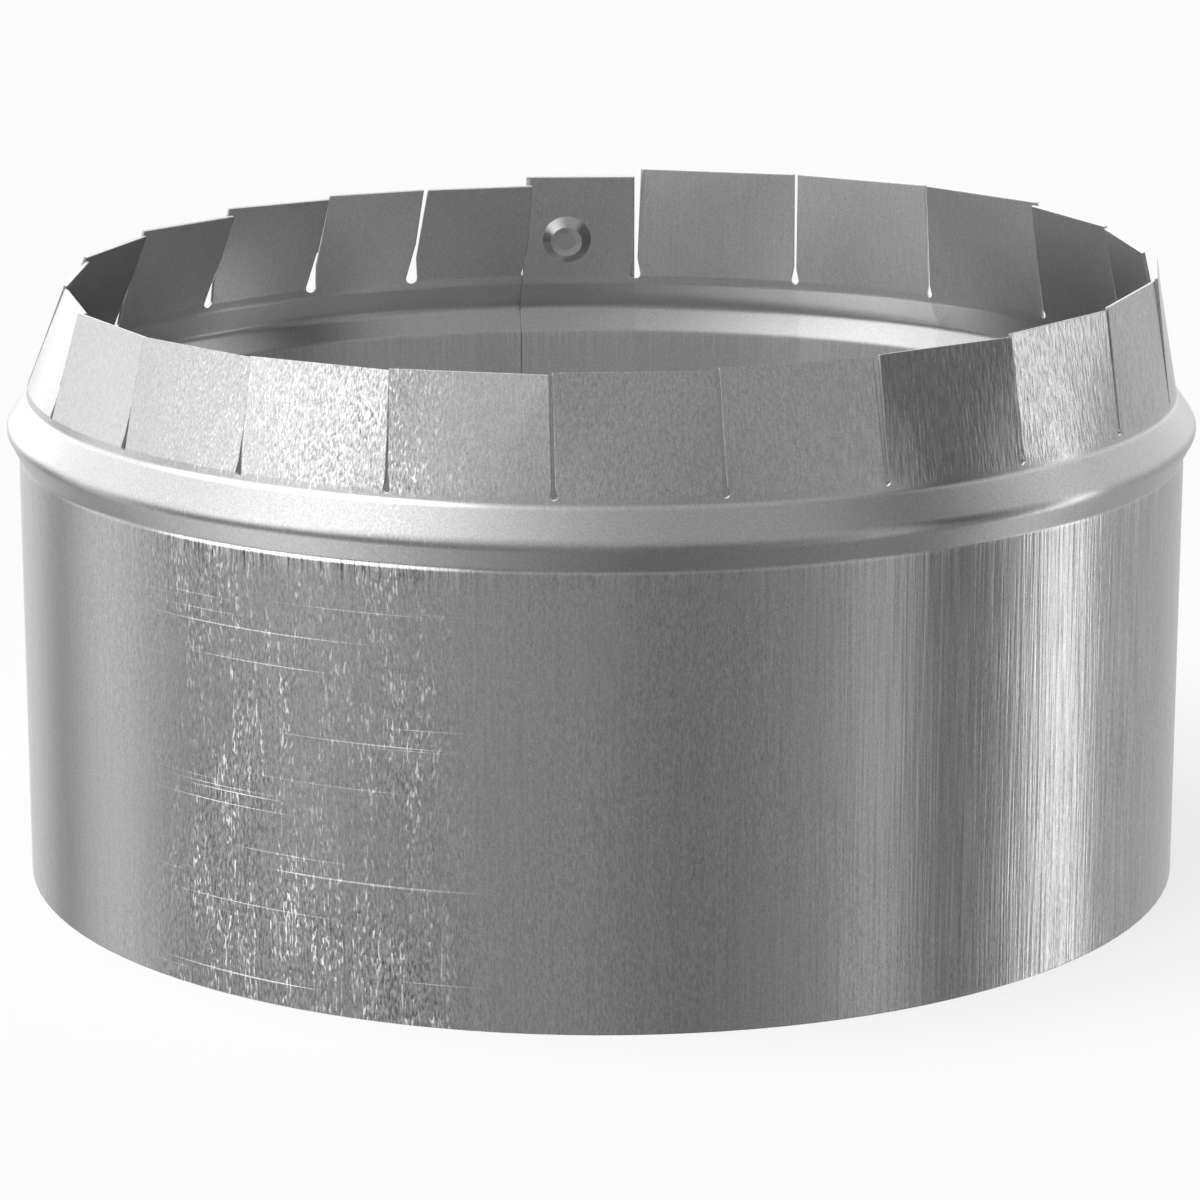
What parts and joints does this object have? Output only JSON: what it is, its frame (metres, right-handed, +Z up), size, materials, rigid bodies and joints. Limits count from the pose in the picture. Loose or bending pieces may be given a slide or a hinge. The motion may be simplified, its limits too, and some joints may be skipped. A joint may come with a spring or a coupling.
{
  "type": "short duct collar",
  "caption": "Short round sheet-metal duct collar with a plain spigot wall, one rolled stop bead and a ring of slit bend-over tabs above it.",
  "frame": {"origin": "centre of the plain rim, on the plane the collar stands on", "axes": "+Z up the collar's axis towards the tabs, +Y towards the lap seam at the back, +X to the right"},
  "size_m": [0.1554, 0.1554, 0.081],
  "materials": {
    "galvanised_sheet": "galvanised zinc skin, satin, with fine vertical rolling lines"
  },
  "bodies": {
    "root": {"collar_sheet": "galvanised_sheet"}
  },
  "joints": []
}
